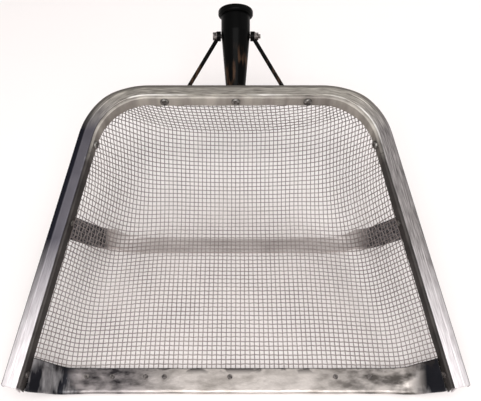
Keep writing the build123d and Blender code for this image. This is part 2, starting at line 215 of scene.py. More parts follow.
def lean(x, y):
    """How far the cross wires lean forward: a square law that starts two fifths of the way out."""
    reach = np.interp(y, LEAN_AT, LEAN_BY)
    share = np.clip((np.abs(x) / half_width(y, RIM_FACE) - LEAN_FROM) / (1 - LEAN_FROM), 0, 1.1)
    return reach * share**2


def plan_point(s, b):
    """Plan place of a flat point: x and y depend on each other, so they are improved in turn."""
    middle = centre_y(b)
    y = middle
    for _ in range(SETTLING_ROUNDS):
        x = plan_x(s, y)
        y = 0.5 * y + 0.5 * (middle - lean(x, y))
    return plan_x(s, y), y


edge_x = float(plan_x(CLOTH_HALF, 0.0))
print("flat", CLOTH_HALF, "mm of cloth spans", round(edge_x, 1), "mm in plan at the blade")

# %% [markdown]
# ## Folding up the wall
# Behind the clamp strips the cloth stands upright. A bender would fold it over an edge. Here the part of a
# wire that would pass the wall line is measured, taken back to the line and turned into height.

# %% Folding up the wall
CLOTH_INSET = RIM_FACE + CLOTH_MIDDLE
WALL_LEAN = 0.135               # the wires of the back wall lean to the left
FOLD_HEIGHT = 4.0               # the wires turn from the floor's slope to upright over this height


def outside(x, y):
    """Distance past the wall line and the wall's outward normal: rail, corner arc or back."""
    rel_x, rel_y = np.abs(x) - CORNER_X, y - CORNER_Y
    rail_part = rel_x * math.cos(TURN) + rel_y * math.sin(TURN)
    back_way = -rel_x * math.sin(TURN) + rel_y * math.cos(TURN)
    reach = np.hypot(rel_x, rel_y) + 1e-9
    corner = (rel_x > 0) & (back_way > 0)
    on_rail = (back_way <= 0) | ((rel_x <= 0) & (rail_part > rel_y))
    distance = np.where(corner, reach, np.where(on_rail, rail_part, rel_y))
    nx = np.where(corner, rel_x / reach, np.where(on_rail, math.cos(TURN), 0.0))
    ny = np.where(corner, rel_y / reach, np.where(on_rail, math.sin(TURN), 1.0))
    return distance - (RIM_CORNER - CLOTH_INSET), np.sign(x) * nx, ny


def unit(vectors):
    """Vectors divided by their lengths."""
    return vectors / np.linalg.norm(vectors, axis=-1, keepdims=True)


def cloth_point(s, b):
    """Middle of the cloth and its upward normal at flat point (s, b), and how far below the rim it is."""
    x, y = plan_point(s, b)
    past, nx, ny = outside(x, y)
    over = np.maximum(past, 0)
    x, y = x - over * nx, y - over * ny
    across, along = slopes(x, y)
    climb = over * np.hypot(1.0, across * nx + along * ny)
    z = cloth_height(x, y) + CLOTH_MIDDLE + climb
    back_share = np.abs(ny) ** 4
    x = x - WALL_LEAN * climb * back_share
    floor_up = unit(np.stack([-across, -along, np.ones_like(x)], -1))
    wall_up = np.stack([-nx, -ny, 0 * x], -1)
    turn = np.clip(climb / FOLD_HEIGHT, 0, 1)[..., None]
    up = unit(floor_up * (1 - turn) + wall_up * turn)
    return np.stack([x, y, z], -1), up, rim_height(y) - z


below_rim = cloth_point(np.zeros(1), np.zeros(1))[2]
print("at the blade the cloth lies", round(float(below_rim[0]), 1), "mm below the rim")

# %% [markdown]
# ## Meshes from grids
# Every sheet here is a grid of points: a profile carried along a line. One helper writes the points and
# faces straight into Blender's arrays, which is far quicker than adding them one by one.

# %% Grid helpers
def grid_quads(rows, columns, close_columns=False):
    """Four corner numbers for every cell of a grid, columns closed into a ring if asked."""
    numbers = np.arange(rows * columns).reshape(rows, columns)
    right = np.roll(numbers, -1, 1) if close_columns else numbers[:, 1:]
    left = numbers if close_columns else numbers[:, :-1]
    cells = np.stack([left[:-1], right[:-1], right[1:], left[1:]], -1)
    return cells.reshape(-1, 4)


def write_mesh(name, points, faces, sharp=40.0, marks=None):
    """One object from points in millimetres and arrays of faces, with named numbers on its points."""
    mesh = bpy.data.meshes.new(name)
    place = (points.reshape(-1, 3) + (0, ORIGIN_SHIFT, 0)) * MM
    sizes = np.concatenate([np.full(len(f), f.shape[1]) for f in faces])
    mesh.vertices.add(len(place))
    mesh.vertices.foreach_set("co", place.ravel())
    mesh.loops.add(int(sizes.sum()))
    mesh.loops.foreach_set("vertex_index", np.concatenate([f.ravel() for f in faces]))
    mesh.polygons.add(len(sizes))
    mesh.polygons.foreach_set("loop_start", np.cumsum(sizes) - sizes)
    mesh.polygons.foreach_set("use_smooth", np.ones(len(sizes), bool))
    mesh.update(calc_edges=True)
    for mark, values in (marks or {}).items():
        mesh.attributes.new(mark, "FLOAT", "POINT").data.foreach_set("value", values.ravel().astype(float))
    mesh.validate()
    mesh.set_sharp_from_angle(angle=math.radians(sharp))
    piece = bpy.data.objects.new(name, mesh)
    bpy.context.scene.collection.objects.link(piece)
    print(name, len(place), "points,", len(sizes), "faces")
    return piece


def outward(rings, quads, caps):
    """Turns every face round if the closed surface's signed volume is negative."""
    points = rings.reshape(-1, 3)
    a, b, c, d = (points[quads[:, k]] for k in range(4))
    volume = (np.cross(b - a, c - a) * a).sum() + (np.cross(c - a, d - a) * a).sum()
    if volume < 0:
        return quads[:, ::-1], caps[:, ::-1]
    return quads, caps


def swept(name, rings, sharp=40.0, marks=None):
    """A closed bar: rings of points joined side by side, with a flat cap on each end."""
    rows, columns = rings.shape[:2]
    quads = grid_quads(rows, columns, close_columns=True)
    first = np.arange(columns)
    caps = np.stack([first[::-1], first + (rows - 1) * columns])
    quads, caps = outward(rings, quads, caps)
    return write_mesh(name, rings, [quads, caps], sharp, marks)


def rounded(corners, radii, steps=4):
    """A closed outline with each corner cut by a curve through two points and the corner (a parabola)."""
    corners = np.asarray(corners, float)
    radii = np.asarray(radii, float)[:, None]
    start = corners + radii * unit(np.roll(corners, 1, 0) - corners)
    end = corners + radii * unit(np.roll(corners, -1, 0) - corners)
    t = np.linspace(0, 1, steps + 1)[None, :, None]
    curve = start[:, None] * (1 - t) ** 2 + corners[:, None] * 2 * t * (1 - t) + end[:, None] * t**2
    return curve.reshape(-1, 2)


def waves(x, y, seed, size, count=6):
    """Soft unevenness: a sum of sines with seeded directions, about one wave in size millimetres."""
    draw = np.random.default_rng(seed)
    total = 0.0
    for _ in range(count):
        angle, phase, scale = draw.uniform(0, 2 * np.pi, 2).tolist() + [draw.uniform(0.6, 1.6)]
        turn = 2 * np.pi * scale / size
        total = total + np.sin(turn * (x * math.cos(angle) + y * math.sin(angle)) + phase)
    return total / count


open_cells, closed_cells = grid_quads(3, 4), grid_quads(3, 4, close_columns=True)
print("a grid of 3 by 4 points has", len(open_cells), "cells, closed", len(closed_cells))

# %% [markdown]
# ## Wire cloth
# The basket is plain weave: each wire passes over one crossing wire and under the next. It could be a
# texture on a sheet, but light has to fall through the holes and the edges have to look like wire. So
# every wire is a thin five-sided tube on the draped surface, raised and lowered by a cosine whose
# crests fall on the crossings.

# %% Weave
WARP_PITCH = 5.0
WEFT_PITCH = 4.9
WIRE_R = 0.5
CRIMP = 0.46
SIDES = 5
RINGS_PER_PITCH = 4
HIDDEN = 4.0                # the cloth ends this far below the rim's top, behind the strips
WIRE_START = -20.5          # inside the blade's fold
WIRE_END = 345.0
WARP_SPARE, WEFT_SPARE = 4.0, 6.0       # flat edges left off
WARPS_EACH_SIDE = 50
FIRST_WEFT, MIDDLE_WEFT, LAST_WEFT = -4, 30, 69
DENT_DEPTH, DENT_SIZE = 0.8, 120.0
WANDER = 0.16               # how far a wire strays from its line


def jitter(numbers, run, seed):
    """Each wire's own slow wander: one sine along the wire with a seeded phase, length and shift."""
    draw = np.random.default_rng(seed)
    phase = draw.uniform(0, 2 * np.pi, len(numbers))[:, None]
    length = draw.uniform(70, 190, len(numbers))[:, None]
    shift = draw.normal(0, 0.35, len(numbers))[:, None]
    return WANDER * (np.sin(2 * np.pi * run / length + phase) + shift)


def wires(name, centre, up, below, keep):
    """Tubes along the rows of centre: rings in the plane of up and the sideways direction."""
    ahead = unit(np.gradient(centre, axis=1))
    side = unit(np.cross(ahead, up))
    lift = np.cross(side, ahead)
    angle = 2 * np.pi * np.arange(SIDES) / SIDES
    ring = side[:, :, None] * np.cos(angle)[:, None] + lift[:, :, None] * np.sin(angle)[:, None]
    rings = centre[:, :, None] + WIRE_R * ring
    keep = keep & (below > HIDDEN)
    numbers = np.arange(rings[..., 0].size).reshape(rings.shape[:3])
    joined = keep[:, :-1] & keep[:, 1:]
    here, there = numbers[:, :-1][joined], numbers[:, 1:][joined]
    quads = np.stack([here, np.roll(here, -1, 1), np.roll(there, -1, 1), there], -1).reshape(-1, 4)
    padded = np.pad(joined, ((0, 0), (1, 1)))
    first = numbers[keep & ~padded[:, :-1] & padded[:, 1:]]
    last = numbers[keep & padded[:, :-1] & ~padded[:, 1:]]
    caps = np.concatenate([first[:, ::-1], last])
    used = np.zeros(numbers.size, bool)
    used[quads.ravel()] = True
    renumber = np.cumsum(used) - 1
    return write_mesh(name, rings.reshape(-1, 3)[used], [renumber[quads], renumber[caps]], sharp=80)


def weave_surface(s, b):
    """The draped cloth with slow dents, so that its reflections and shadows wander."""
    centre, up, below = cloth_point(s, b)
    dent = DENT_DEPTH * waves(s, b, seed=11, size=DENT_SIZE)
    return centre + up * dent[..., None], up, below


def make_warps(name, numbers):
    """Wires from the blade to the rim: s stays on its pitch and b runs."""
    stations = np.arange(WIRE_START, WIRE_END, WEFT_PITCH / RINGS_PER_PITCH)
    b = np.broadcast_to(stations, (len(numbers), len(stations)))
    s = numbers[:, None] * WARP_PITCH + jitter(numbers, b, seed=21)
    centre, up, below = weave_surface(s, b)
    over = CRIMP * np.cos(np.pi * (b / WEFT_PITCH + numbers[:, None]))
    return wires(name, centre + up * over[..., None], up, below, np.abs(s) < CLOTH_HALF - WARP_SPARE)


def make_wefts(name, numbers):
    """Wires across from rail to rail: b stays on its pitch and s runs."""
    reach = CLOTH_HALF - WEFT_SPARE
    stations = np.arange(-reach, reach, WARP_PITCH / RINGS_PER_PITCH)
    s = np.broadcast_to(stations, (len(numbers), len(stations)))
    b = numbers[:, None] * WEFT_PITCH + jitter(numbers, s, seed=22)
    centre, up, below = weave_surface(s, b)
    over = -CRIMP * np.cos(np.pi * (s / WARP_PITCH + numbers[:, None]))
    return wires(name, centre + up * over[..., None], up, below, np.abs(s) < reach)


warp_numbers = np.arange(-WARPS_EACH_SIDE, WARPS_EACH_SIDE + 1)
weft_numbers = np.arange(FIRST_WEFT, LAST_WEFT + 1)
cloth_pieces = [
    make_warps("cloth_warp_wires_left", warp_numbers[warp_numbers < 0]),
    make_warps("cloth_warp_wires_right", warp_numbers[warp_numbers >= 0]),
    make_wefts("cloth_weft_wires_front", weft_numbers[weft_numbers < MIDDLE_WEFT]),
    make_wefts("cloth_weft_wires_back", weft_numbers[weft_numbers >= MIDDLE_WEFT]),
]

# %% [markdown]
# ## Rim
# The rim is an aluminium section with a flat face, an inner flange that clamps the cloth and a short
# outer lip. It could be lofted from drawn curves. A closed outline carried along the plan line is
# shorter, and its rounded corners catch the light like the drawn metal does.

# %% Rim section carried round
RIM_SHEET = 1.8
LIP_SHEET = 1.5
LIP_DEPTH = 6.0
RIDGE_AT, RIDGE_HALF, RIDGE_STEP = 5.7, 0.5, 0.22
FACE_FALL = 0.1             # the face dips this much towards the flange
RIM_DENT = 0.25


def rim_section():
    """Inset and drop of the closed outline: face with a faint ridge, flange and lip."""
    corners = [(0, 0), (RIDGE_AT - RIDGE_HALF, 0), (RIDGE_AT, 0), (RIDGE_AT + RIDGE_HALF, RIDGE_STEP)]
    corners += [(RIM_FACE, FACE_FALL)]
    corners += [(RIM_FACE, FLANGE_DEPTH), (RIM_FACE - RIM_SHEET, FLANGE_DEPTH)]
    corners += [(RIM_FACE - RIM_SHEET, RIM_SHEET), (LIP_SHEET, RIM_SHEET)]
    corners += [(LIP_SHEET, LIP_DEPTH), (0, LIP_DEPTH)]
    radii = [0.9, 0.1, 0.1, 0.1, 0.9, 0.4, 0.4, 0.5, 0.5, 0.4, 0.4]
    return rounded(corners, radii)


def stations_along(start, end, step):
    """Evenly spaced lengths from start to end."""
    return np.linspace(start, end, int(abs(end - start) / step) + 1)


def make_rim():
    """Rim section at every station, with slow dents along the rails."""
    section = rim_section()
    s = stations_along(-RIM_LENGTH, RIM_LENGTH, 3.0)[:, None]
    inset, drop = section[None, :, 0], section[None, :, 1]
    dent = RIM_DENT * waves(s, 0 * s, seed=31, size=90.0) * np.clip(inset / RIM_FACE, 0, 1)
    marks = {"run": s + 0 * inset, "inset": inset + 0 * s}
    return swept("rim_section", rim_point(s, inset, drop + np.clip(dent, -0.08, 0.3)), marks=marks)


rim = make_rim()

# %% [markdown]
# ## Clamp strips
# Three thin flat strips press the cloth against the flange. Between screws their lower edge bulges, so
# the depth of the section follows a wave along the rim.

# %% Strips along the flange
STRIP_SHEET = 1.4
STRIP_TOP = 2.1
HEM_TOP = 0.7                   # the strip's upper edge is turned over the cloth
STRIP_OUTER = RIM_FACE + 1.9
HEM_OUTER = RIM_FACE + 0.1
SEAM_Y = 200.75                 # where the side strips meet the back strip
SEAM_HALF = 0.3
END_SPARE = 1.0                 # the side strips stop short of the rails' ends


def s_at(y):
    """Length along the rim's outer edge to the point of a rail at plan y."""
    return HALF_BACK + CORNER_LENGTH + (CORNER_Y + RIM_CORNER * math.sin(TURN) - y) / math.cos(TURN)


def make_strip(name, start, end, edge_wave):
    """Flat section with eased edges from start to end, its lower edge waved by edge_wave."""
    outer, inner, hem = STRIP_OUTER, STRIP_OUTER + STRIP_SHEET, HEM_OUTER
    corners = [(hem, HEM_TOP), (inner, HEM_TOP), (inner, FLANGE_DEPTH), (outer, FLANGE_DEPTH)]
    corners += [(outer, STRIP_TOP), (hem, STRIP_TOP)]
    section = rounded(corners, [0.3, 0.9, 0.5, 0.3, 0.3, 0.3], 3)
    s = stations_along(start, end, 2.0)[:, None]
    inset, drop = section[None, :, 0], section[None, :, 1]
    low = np.clip((drop - STRIP_TOP) / (FLANGE_DEPTH - STRIP_TOP), 0, 1)
    bulge = 0.35 * waves(s, 0 * s, seed=41, size=40.0) * low
    edge = edge_wave * np.minimum(waves(s, 0 * s, seed=42, size=34.0), 0.1) * low
    marks = {"run": s + 0 * inset, "inset": drop + 0 * s}
    return swept(name, rim_point(s, inset + np.clip(bulge, -0.05, 0.4), drop + edge), marks=marks)


SEAM = s_at(SEAM_Y)
END = RIM_LENGTH - END_SPARE
strip_back = make_strip("strip_across_back", -SEAM + SEAM_HALF, SEAM - SEAM_HALF, edge_wave=1.6)
strip_left = make_strip("strip_left_rail", -END, -SEAM - SEAM_HALF, edge_wave=0.8)
strip_right = make_strip("strip_right_rail", SEAM + SEAM_HALF, END, edge_wave=0.8)

# %% [markdown]
# ## Front blade
# A strip of galvanised steel is folded round the front edge of the cloth and hammered down, so both its
# corners are crumpled. One closed outline runs over the top sheet, round the nose and back under the
# cloth. It follows the draped surface across, and seeded waves crumple it more towards the ends.

# %% Blade
BLADE_SHEET = 1.1
BLADE_FRONT = -25.5
BLADE_CORNER = 4.5              # the nose reaches this much further forward at the corners
CLOTH_GAP = 1.05                # half the room for the cloth inside the fold
BLADE_HALF = 214.0              # flat half length, from rail to rail
BLADE_WIDTH = 25.0
FOLD_START = 0.93               # share of the width where the nose begins
CORNER_FROM, CORNER_RUN = 130.0, 80.0   # flat lengths over which the corners take over
CRUMPLE_MIDDLE, CRUMPLE_CORNER = 0.12, 2.6
CRUMPLE_FLOOR = -0.15
CRUMPLE_UNDER = 0.3             # share of the crumple that the lower sheet shows


def blade_outline():
    """Share of the depth (0 rear, 1 nose) and height off the cloth's middle, once round the fold."""
    top, bottom = CLOTH_GAP + BLADE_SHEET, -CLOTH_GAP - BLADE_SHEET
    over = [(t, top) for t in np.linspace(0.0, FOLD_START, 13)]
    nose = [(0.97, 1.5), (0.99, 0.8), (1.0, 0.0), (0.99, -0.8), (0.97, -1.5)]
    under = [(t, bottom) for t in np.linspace(FOLD_START, 0.0, 13)]
    inside = [(0.0, -CLOTH_GAP), (0.5, -CLOTH_GAP), (0.9, -CLOTH_GAP), (FOLD_START, 0.0)]
    inside += [(0.9, CLOTH_GAP), (0.5, CLOTH_GAP), (0.0, CLOTH_GAP)]
    return np.array(over + nose + under + inside)


def surface_at(s, y):
    """Cloth's middle and its normal where flat length s meets plan y, without the forward lean."""
    x = plan_x(s, y)
    across, along = slopes(x, y)
    up = unit(np.stack([-across, -along, np.ones_like(x)], -1))
    return np.stack([x, y, cloth_height(x, y)], -1) + CLOTH_MIDDLE * up, up


def make_blade():
    """The outline at every station across, from one rail's flange to the other."""
    outline = blade_outline()
    s = stations_along(-BLADE_HALF, BLADE_HALF, 1.6)[:, None] + 0 * outline[None, :, 0]
    depth, height = outline[None, :, 0], outline[None, :, 1]
    corner = np.clip((np.abs(s) - CORNER_FROM) / CORNER_RUN, 0, 1) ** 2
    nose = BLADE_FRONT - BLADE_CORNER * corner + 0.35 * waves(s, 0 * s, seed=51, size=60.0)
    rear = 0.4 * waves(s, 0 * s, seed=52, size=45.0)
    y = rear + depth * (nose - rear)
    crumple = (CRUMPLE_MIDDLE + CRUMPLE_CORNER * corner) * waves(s, 0.8 * y, seed=53, size=24.0)
    crumple = np.maximum(crumple, CRUMPLE_FLOOR)
    centre, up = surface_at(s, y)
    lift = np.where(height > 0, height + crumple, height + CRUMPLE_UNDER * crumple)
    points = centre + up * lift[..., None]
    points[..., 2] = np.maximum(points[..., 2], 0.0)
    return swept("folded_blade", points, sharp=50, marks={"inset": depth * BLADE_WIDTH + 0 * s})


blade = make_blade()

# %% [markdown]
# ## Finishes
# Each finish starts from one bright or dark metal and adds what use has done to it, and some also paint in
# light and shade. Patterns read
# Object coordinates, so they stay on the piece. A small recipe joins noise, a colour ramp and a bump.

# %% Material recipe
class Finish:
    """A material with short calls for the nodes that the finishes below share."""

    def __init__(self, name, metallic, roughness):
        self.material = bpy.data.materials.new(name)
        self.material.use_nodes = True
        self.tree = self.material.node_tree
        self.shader = self.tree.nodes["Principled BSDF"]
        self.shader.inputs["Metallic"].default_value = metallic
        self.shader.inputs["Roughness"].default_value = roughness
        self.place = self.node("ShaderNodeTexCoord").outputs["Object"]

    def node(self, kind, **settings):
        """A new node of this kind with its settings."""
        node = self.tree.nodes.new(kind)
        for key, value in settings.items():
            setattr(node, key, value)
        return node

    def link(self, start, end):
        """Joins an output to an input."""
        self.tree.links.new(start, end)

    def noise(self, scale, stretch=(1, 1, 1), detail=4.0, turn=(0, 0, 0)):
        """Noise of so many waves a metre, drawn out where stretch is small."""
        mapping = self.node("ShaderNodeMapping")
        mapping.inputs["Scale"].default_value = stretch
        mapping.inputs["Rotation"].default_value = turn
        noise = self.node("ShaderNodeTexNoise")
        noise.inputs["Scale"].default_value = scale
        noise.inputs["Detail"].default_value = detail
        self.link(self.place, mapping.inputs["Vector"])
        self.link(mapping.outputs["Vector"], noise.inputs["Vector"])
        return noise.outputs["Fac"]

    def mark(self, name, start, end):
        """0 to 1 as the points' own number goes from start to end."""
        spread = self.node("ShaderNodeMapRange")
        spread.inputs["From Min"].default_value = start
        spread.inputs["From Max"].default_value = end
        number = self.node("ShaderNodeAttribute", attribute_name=name)
        self.link(number.outputs["Fac"], spread.inputs["Value"])
        return spread.outputs["Result"]

    def grain(self, scale, stretch):
        """Brush marks: noise over the lengths along and across a bent section, in millimetres."""
        join = self.node("ShaderNodeCombineXYZ")
        noise = self.node("ShaderNodeTexNoise")
        noise.inputs["Scale"].default_value = scale
        noise.inputs["Detail"].default_value = 6.0
        for name, socket, factor in (("run", "X", 1 / stretch), ("inset", "Y", 1.0)):
            times = self.node("ShaderNodeMath", operation="MULTIPLY")
            times.inputs[1].default_value = factor
            number = self.node("ShaderNodeAttribute", attribute_name=name)
            self.link(number.outputs["Fac"], times.inputs[0])
            self.link(times.outputs[0], join.inputs[socket])
        self.link(join.outputs["Vector"], noise.inputs["Vector"])
        return noise.outputs["Fac"]

    def times(self, first, second):
        """Product of two numbers."""
        times = self.node("ShaderNodeMath", operation="MULTIPLY", use_clamp=True)
        self.link(first, times.inputs[0])
        self.link(second, times.inputs[1])
        return times.outputs[0]

    def along(self, axis, start, end):
        """0 to 1 from start to end in metres along one axis."""
        split = self.node("ShaderNodeSeparateXYZ")
        spread = self.node("ShaderNodeMapRange")
        spread.inputs["From Min"].default_value = start
        spread.inputs["From Max"].default_value = end
        self.link(self.place, split.inputs["Vector"])
        self.link(split.outputs[axis], spread.inputs["Value"])
        return spread.outputs["Result"]

    def ramp(self, value, stops):
        """Colours at places along 0 to 1."""
        ramp = self.node("ShaderNodeValToRGB")
        elements = ramp.color_ramp.elements
        while len(elements) < len(stops):
            elements.new(0.5)
        for element, (place, colour) in zip(elements, stops):
            element.position = place
            element.color = (*colour, 1)
        self.link(value, ramp.inputs["Fac"])
        return ramp.outputs["Color"]

    def mix(self, share, first, second, kind="MIX"):
        """Two colours mixed by share, a number or another output."""
        mix = self.node("ShaderNodeMix", data_type="RGBA", blend_type=kind)
        sockets = [mix.inputs[0], mix.inputs[6], mix.inputs[7]]
        for socket, value in zip(sockets, (share, first, second)):
            if isinstance(value, bpy.types.NodeSocket):
                self.link(value, socket)
            else:
                socket.default_value = value if socket is sockets[0] else (*value, 1)
        return mix.outputs[2]

    def bump(self, height, strength, distance):
        """Light and shade as if the surface stood up by distance where height is 1."""
        bump = self.node("ShaderNodeBump")
        bump.inputs["Strength"].default_value = strength
        bump.inputs["Distance"].default_value = distance
        self.link(height, bump.inputs["Height"])
        self.link(bump.outputs["Normal"], self.shader.inputs["Normal"])

    def colour(self, output):
        """Joins the base colour and hands the finished material over."""
        self.link(output, self.shader.inputs["Base Color"])
        return self.material

    def rough(self, value, low, high):
        """Roughness from low to high as value goes from 0 to 1."""
        spread = self.node("ShaderNodeMapRange")
        spread.inputs["To Min"].default_value = low
        spread.inputs["To Max"].default_value = high
        self.link(value, spread.inputs["Value"])
        self.link(spread.outputs["Result"], self.shader.inputs["Roughness"])


def finish_piece(piece, material):
    """One material on the whole piece."""
    piece.data.materials.clear()
    piece.data.materials.append(material)
    print(piece.name, "is finished in", material.name)


# %% [markdown]
# ### Rim aluminium
# Worn aluminium is mid grey with blotches. The left rail is painted darker than the right as shade, with a
# near black painted shade band over the outer part of its face. A thin painted shade line runs along the
# outer lip and a painted highlight along the inner edge at the back and corners. The rails grow paler towards
# the open end, and the back face is brushed warm grey.

# %% Rim finish
def rim_aluminium():
    """Left rail in painted shade, right rail lit, open ends and back each have a tone; marks along the
    section add painted shade at the outer edges and a painted highlight on the inner edge.
    """
    finish = Finish("rim_aluminium", 0.75, 0.42)
    streaks = finish.grain(0.9, 14.0)
    blotches = finish.noise(30, (1, 1, 1), 6)
    # painted shade: the left rail gets a darker copy of the rail tone than the lit right rail below; the
    # blotches are real
    left = finish.mix(blotches, (0.035, 0.033, 0.045), (0.16, 0.148, 0.165))
    right = finish.ramp(streaks, [(0.3, (0.08, 0.071, 0.069)), (0.7, (0.33, 0.303, 0.298))])
    # painted shade: a thin dark line along the outer lip of the rail
    right = finish.mix(finish.mark("inset", 0.9, 0.4), right, (0.03, 0.028, 0.028))
    # painted shade: a near black band over the outer part of the left rail's face
    edge = finish.mix(finish.mark("inset", 4.6, 6.0), (0.003, 0.003, 0.008), left)
    # the painted shade of the left rail meets the lit right rail at the middle
    rails = finish.mix(finish.along("X", -0.02, 0.02), edge, right)
    pale = finish.ramp(streaks, [(0.3, (0.46, 0.42, 0.43)), (0.7, (0.74, 0.70, 0.71))])
    # painted shade: the same thin dark line along the outer lip near the open end
    pale = finish.mix(finish.mark("inset", 0.9, 0.4), pale, (0.03, 0.03, 0.035))
    rails = finish.mix(finish.along("Y", 0.12, 0.00), rails, pale)
    warm = finish.ramp(streaks, [(0.3, (0.14, 0.126, 0.111)), (0.7, (0.52, 0.48, 0.425))])
    warm = finish.mix(finish.mark("inset", 5.0, 2.0), warm, (0.14, 0.125, 0.11))
    colour = finish.mix(finish.along("Y", 0.235, 0.275), rails, warm)
    # painted highlight: a bright line on the inner edge at the back and corners, in patches
    lit = finish.times(finish.mark("inset", 13.2, 13.9), finish.along("Y", 0.19, 0.21))
    lit = finish.times(lit, finish.ramp(finish.noise(14), [(0.45, (0, 0, 0)), (0.6, (1, 1, 1))]))
    finish.rough(blotches, 0.32, 0.55)
    finish.bump(streaks, 0.25, 0.0004)
    return finish.colour(finish.mix(lit, colour, (0.85, 0.82, 0.78)))


finish_piece(rim, rim_aluminium())


# %% [markdown]
# ### Strips
# The strips are the rim's metal, duller: painted nearly black along the rails as the shade on their inward
# faces, and a lit brushed tone across the back. One piece could carry each tone, but the back strip's ends
# are already dark, so the tone follows the place.

# %% Strip finish
def strip_aluminium():
    """Two noises, a painted shade tone and a lit tone, mixed by how far back a point lies."""
    finish = Finish("strip_aluminium", 0.6, 0.5)
    shade_mottle = finish.noise(50, (1, 1, 1), 6)
    brushed = finish.noise(60, (1, 1, 0.2), 6)
    # painted shade: the side strips face inward and are painted nearly black as shade; the back strip gets
    # the lit brushed tone
    dark = finish.ramp(shade_mottle, [(0.3, (0.016, 0.013, 0.012)), (0.7, (0.055, 0.047, 0.043))])
    light = finish.ramp(brushed, [(0.3, (0.22, 0.195, 0.175)), (0.7, (0.52, 0.48, 0.43))])
    finish.bump(finish.noise(500, (1, 1, 1), 4), 0.15, 0.0004)
    return finish.colour(finish.mix(finish.along("Y", 0.20, 0.235), dark, light))


dull = strip_aluminium()
for piece in (strip_back, strip_left, strip_right):
    finish_piece(piece, dull)


# %% [markdown]
# ### Wire
# The cloth's wire is bare steel gone brown grey, darker up the walls. The
# wires are real tubes, so the finish only has to change with height.

# %% Wire finish
def wire_cloth():
    """One noise through two ramps, floor and wall, mixed by height."""
    finish = Finish("wire_cloth", 0.55, 0.45)
    fine = finish.noise(18, (1, 1, 1), 4)
    floor = finish.ramp(fine, [(0.3, (0.28, 0.237, 0.223)), (0.7, (0.44, 0.387, 0.367))])
    wall = finish.ramp(fine, [(0.3, (0.20, 0.165, 0.155)), (0.7, (0.33, 0.289, 0.275))])
    finish.bump(finish.noise(1500, (1, 1, 1), 3), 0.1, 0.0001)
    return finish.colour(finish.mix(finish.along("Z", 0.004, 0.060), floor, wall))


wire = wire_cloth()
for piece in cloth_pieces:
    finish_piece(piece, wire)


# %% [markdown]
# ### Blade and strap
# Both are zinc coated steel. The middle of the blade is bright and its ends are dark and streaked, with a
# painted shade line along its rear edge. The strap is painted bright under the floor and dark where it climbs
# to the rails, as reflections of the bright overhead and the darker surroundings.

# %% Blade and strap finishes
def galvanised_blade():
    """Five stretches across, each a ramp over noise, with grime specks and a painted shade line along the
    rear edge.
    """
    finish = Finish("galvanised_blade", 0.8, 0.38)
    fine = finish.noise(90, (0.5, 1, 1), 8)
    streaks = finish.noise(75, (1, 0.2, 0.2), 5, (0, 0, 0.5))
    dark = finish.ramp(streaks, [(0.50, (0.010, 0.010, 0.014)), (0.62, (0.40, 0.38, 0.385))])
    mottled = finish.ramp(fine, [(0.40, (0.03, 0.026, 0.028)), (0.60, (0.34, 0.305, 0.30))])
    bright_middle = finish.ramp(fine, [(0.3, (0.34, 0.303, 0.275)), (0.6, (0.66, 0.60, 0.56))])
    colour = finish.mix(finish.along("X", -0.172, -0.158), dark, mottled)
    colour = finish.mix(finish.along("X", -0.11, -0.05), colour, bright_middle)
    worn = finish.ramp(fine, [(0.35, (0.10, 0.088, 0.08)), (0.6, (0.60, 0.545, 0.51))])
    colour = finish.mix(finish.along("X", 0.07, 0.13), colour, worn)
    colour = finish.mix(finish.along("X", 0.178, 0.190), colour, dark)
    specks = finish.ramp(fine, [(0.5, (0, 0, 0)), (0.56, (1, 1, 1))])
    grime = finish.times(finish.mark("inset", 7.0, 0.0), specks)
    colour = finish.mix(grime, colour, (0.03, 0.025, 0.024))
    # painted shade: a dark line along the rear edge, where the blade meets the cloth
    colour = finish.mix(finish.mark("inset", 1.0, 0.2), colour, (0.02, 0.018, 0.018))
    finish.rough(finish.noise(120, (1, 1, 1), 4), 0.25, 0.5)
    finish.bump(finish.noise(260, (1, 1, 1), 5), 0.35, 0.0008)
    return finish.colour(colour)


def galvanised_strap():
    """A bright middle between two dark speckled ends, both painted reflections: bright overhead on the flat
    part, darker surroundings on the climbs.
    """
    finish = Finish("galvanised_strap", 0.8, 0.45)
    speckled = finish.noise(500, (1, 1, 1), 7)
    cloudy = finish.noise(60, (0.4, 1, 1), 6)
    # painted reflection: dark speckled ends where the strap climbs to the rails, a bright middle under the
    # floor
    dark = finish.ramp(speckled, [(0.4, (0.03, 0.03, 0.034)), (0.62, (0.24, 0.225, 0.23))])
    light = finish.ramp(cloudy, [(0.3, (0.52, 0.47, 0.455)), (0.7, (0.70, 0.65, 0.63))])
    left = finish.mix(finish.along("X", -0.148, -0.144), dark, light)
    finish.bump(finish.noise(400, (1, 1, 1), 4), 0.2, 0.0004)
    return finish.colour(finish.mix(finish.along("X", 0.138, 0.152), left, dark))


finish_piece(blade, galvanised_blade())


# %% [markdown]
# ### Screws, rivets and paint
# Screws are plated, rivets and the brace hardware are stained, and the socket and braces are painted black
# with the paint worn brown low down. These pieces keep their CAD meshes.

# %% Finishes of screws, rivets and painted parts
def plated_steel():
    """A ramp from dark to bright over fine noise."""
    finish = Finish("plated_steel", 0.9, 0.32)
    patches = finish.noise(300, (1, 1, 1), 5)
    colour = finish.ramp(patches, [(0.35, (0.06, 0.055, 0.05)), (0.7, (0.36, 0.34, 0.32))])
    finish.bump(finish.noise(900, (1, 1, 1), 3), 0.15, 0.0002)
    return finish.colour(colour)


def stained_rivet():
    """As the plated steel, browner and rougher."""
    finish = Finish("stained_rivet", 0.7, 0.5)
    patches = finish.noise(400, (1, 1, 1), 6)
    colour = finish.ramp(patches, [(0.35, (0.03, 0.025, 0.025)), (0.7, (0.28, 0.25, 0.235))])
    finish.bump(finish.noise(900, (1, 1, 1), 3), 0.3, 0.0003)
    return finish.colour(colour)


